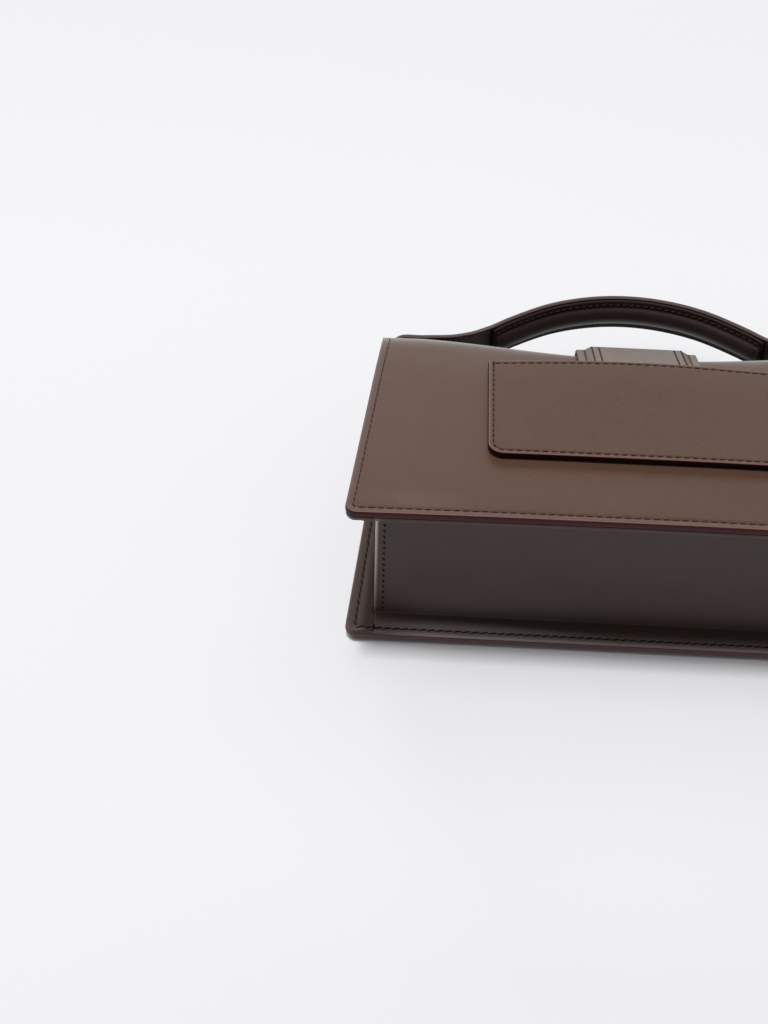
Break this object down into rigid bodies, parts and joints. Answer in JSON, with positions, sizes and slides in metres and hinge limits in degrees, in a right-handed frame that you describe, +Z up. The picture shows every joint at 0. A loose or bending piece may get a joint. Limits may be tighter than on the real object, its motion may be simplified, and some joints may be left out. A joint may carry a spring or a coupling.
{
  "type": "handbag",
  "caption": "Structured leather handbag lying on its back panel, with a front flap plate, a hinge strap over the mouth and an arched, padded top handle.",
  "frame": {"origin": "on the floor under the middle of the object's box, handle included, the bag lying on its back panel", "axes": "+X across the bag to its right side, +Y from its base towards its mouth and handle, +Z up out of the front panel"},
  "size_m": [0.2392, 0.179, 0.08],
  "materials": {
    "panel_leather": "satin brown smooth leather with painted edges",
    "gusset_leather": "satin dark brown smooth leather",
    "handle_leather": "semi-gloss dark brown smooth leather with painted edges"
  },
  "bodies": {
    "root": {"back_panel": "panel_leather", "front_panel": "panel_leather", "base_gusset": "gusset_leather", "side_gusset_left": "gusset_leather", "side_gusset_right": "gusset_leather", "flap_plate": "panel_leather", "flap_hinge": "panel_leather", "handle_strap": "handle_leather", "handle_roll": "handle_leather"}
  },
  "joints": []
}
